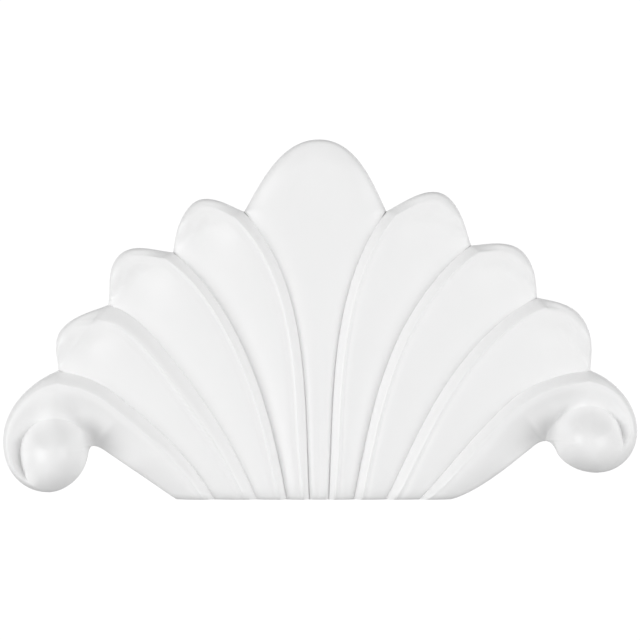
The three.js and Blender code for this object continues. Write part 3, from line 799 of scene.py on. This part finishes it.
class ORNAMENT_OT_carve(bpy.types.Operator):
    """Carve the ornament: the plan in mesh code, the relief by rule"""
    bl_idname = "ornament.carve"
    bl_label = "Carve Ornament"

    def execute(self, context):
        sizes = context.scene.ornament_sizes
        plan = Plan(sizes.width / 2, sizes.height)
        plan.build(SHARES)
        mesh = bpy.data.meshes.new("ornament_plan")
        middle = sizes.height / 2
        mesh.from_pydata([(x, 0.0, z - middle) for x, z in plan.points], [], plan.faces)
        for name in FIELDS:
            values = np.array([fields.get(name, 0.0) for fields in plan.fields], dtype=np.float32)
            mesh.attributes.new(name, "FLOAT", "POINT").data.foreach_set("value", values)
        blank = bpy.data.objects.new("ornament_plan", mesh)
        context.collection.objects.link(blank)

        material = satin_white(sizes)
        tree, sockets = carving_tree(material)
        rule = blank.modifiers.new("Raise the carving", "NODES")
        rule.node_group = tree
        values = {"Depth": sizes.depth, "Leaf lift": sizes.leaf_lift, "Foot lift": sizes.foot_lift,
                  "Tip droop": sizes.tip_droop, "Rounding": sizes.rounding,
                  "Shoulder": sizes.shoulder,
                  "Groove depth": sizes.groove_depth, "Groove at foot": sizes.groove_at_foot,
                  "Dish depth": sizes.dish_depth, "Dish wall": sizes.dish_wall,
                  "Dimple depth": sizes.dimple_depth, "Crease depth": sizes.crease_depth,
                  "Crease width": sizes.crease_width, "Flute depth": sizes.flute_depth,
                  "Crown sink": sizes.crown_sink, "Crown power": CROWN_POWER,
                  "Summit": SUMMIT, "Full groove": FULL_GROOVE, "Blade power": BLADE_POWER,
                  "Roll share": ROLL_SHARE, "Foot roll": FOOT_ROLL,
                  "Shoulder share": SHOULDER_SHARE, "Soften": SOFTEN_STEPS}
        for name, value in values.items():
            rule[sockets[name]] = value

        context.view_layer.update()
        carved = bpy.data.meshes.new_from_object(blank.evaluated_get(
            context.evaluated_depsgraph_get()))
        carved.name = "pediment_carving"
        for name in FIELDS:
            if name in carved.attributes:
                carved.attributes.remove(carved.attributes[name])
        bpy.data.objects.remove(blank)
        if len(carved.polygons) < LEAST_FACES:
            raise RuntimeError("the carving came out empty")
        carved.polygons.foreach_set("use_smooth", [True] * len(carved.polygons))
        carved.set_sharp_from_angle(angle=math.radians(SHARP_ANGLE))
        piece = bpy.data.objects.new("pediment_carving", carved)
        context.collection.objects.link(piece)
        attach(piece, "root")
        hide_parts("pediment_ornament")
        return {"FINISHED"}


class ORNAMENT_OT_light_stage(bpy.types.Operator):
    """Set the floor, the white backdrop, the soft lights and the camera"""
    bl_idname = "ornament.light_stage"
    bl_label = "Light Stage"

    def execute(self, context):
        stage = context.scene.ornament_stage
        drop = -stage.floor_drop
        self.sheet(context, "floor", [(-4, -4, drop), (4, -4, drop), (4, 4, drop), (-4, 4, drop)],
                   self.plain("floor_paper", (0.62, 0.62, 0.62), 0))
        self.sheet(context, "backdrop",
                   [(-2, 2.6, drop), (2, 2.6, drop), (2, 2.6, 2), (-2, 2.6, 2)],
                   self.plain("backdrop_glow", (1, 1, 1), stage.backdrop))

        world = bpy.data.worlds.new("studio")
        world.use_nodes = True
        background = world.node_tree.nodes["Background"]
        background.inputs["Color"].default_value = (1, 1, 1, 1)
        background.inputs["Strength"].default_value = stage.ambient
        context.scene.world = world

        self.softbox(context, "key", (-2.1, -1.5, -0.03), 1.8, stage.key)
        self.softbox(context, "fill", (2.02, -1.5, -0.03), 1.8, stage.fill)

        lens = bpy.data.cameras.new("camera")
        lens.lens = 200
        lens.sensor_width = 36
        lens.clip_end = 30
        camera = bpy.data.objects.new("camera", lens)
        camera.location = (0, -stage.view_distance, 0)
        camera.rotation_euler = (math.pi / 2, 0, 0)
        context.collection.objects.link(camera)
        context.scene.camera = camera
        context.scene.view_settings.view_transform = "Standard"
        return {"FINISHED"}

    def plain(self, name, color, glow):
        material = bpy.data.materials.new(name)
        material.use_nodes = True
        shader = material.node_tree.nodes["Principled BSDF"]
        shader.inputs["Base Color"].default_value = (*color, 1)
        shader.inputs["Roughness"].default_value = 0.9
        shader.inputs["Specular IOR Level"].default_value = 0.1
        if glow:
            shader.inputs["Base Color"].default_value = (0, 0, 0, 1)
            shader.inputs["Emission Color"].default_value = (*color, 1)
            shader.inputs["Emission Strength"].default_value = glow
        return material

    def sheet(self, context, name, corners, material):
        mesh = bpy.data.meshes.new(name)
        mesh.from_pydata(corners, [], [(0, 1, 2, 3)])
        mesh.materials.append(material)
        obj = bpy.data.objects.new(name, mesh)
        context.collection.objects.link(obj)

    def softbox(self, context, name, place, size, power):
        light = bpy.data.lights.new(name, "AREA")
        light.size = size
        light.energy = power
        obj = bpy.data.objects.new(name, light)
        obj.location = place
        obj.rotation_euler = (-Vector(place)).to_track_quat("-Z", "Y").to_euler()
        context.collection.objects.link(obj)


class ORNAMENT_PT_panel(bpy.types.Panel):
    """Carving and stage of the ornament"""
    bl_idname = "ORNAMENT_PT_panel"
    bl_label = "Pediment Ornament"
    bl_space_type = "VIEW_3D"
    bl_region_type = "UI"
    bl_category = "Ornament"

    def draw(self, context):
        layout = self.layout
        for group in (context.scene.ornament_sizes, context.scene.ornament_stage):
            column = layout.column()
            for name in group.__annotations__:
                column.prop(group, name)
        layout.operator(ORNAMENT_OT_carve.bl_idname)
        layout.operator(ORNAMENT_OT_light_stage.bl_idname)


CLASSES = (ORNAMENT_PG_sizes, ORNAMENT_PG_stage, ORNAMENT_OT_carve, ORNAMENT_OT_light_stage,
           ORNAMENT_PT_panel)


def register():
    for cls in CLASSES:
        bpy.utils.register_class(cls)
    bpy.types.Scene.ornament_sizes = bpy.props.PointerProperty(type=ORNAMENT_PG_sizes)
    bpy.types.Scene.ornament_stage = bpy.props.PointerProperty(type=ORNAMENT_PG_stage)


def unregister():
    del bpy.types.Scene.ornament_stage
    del bpy.types.Scene.ornament_sizes
    for cls in reversed(CLASSES):
        bpy.utils.unregister_class(cls)


def main():
    register()
    bpy.ops.ornament.light_stage()
    bpy.ops.ornament.carve()


if __name__ == "__main__":
    main()
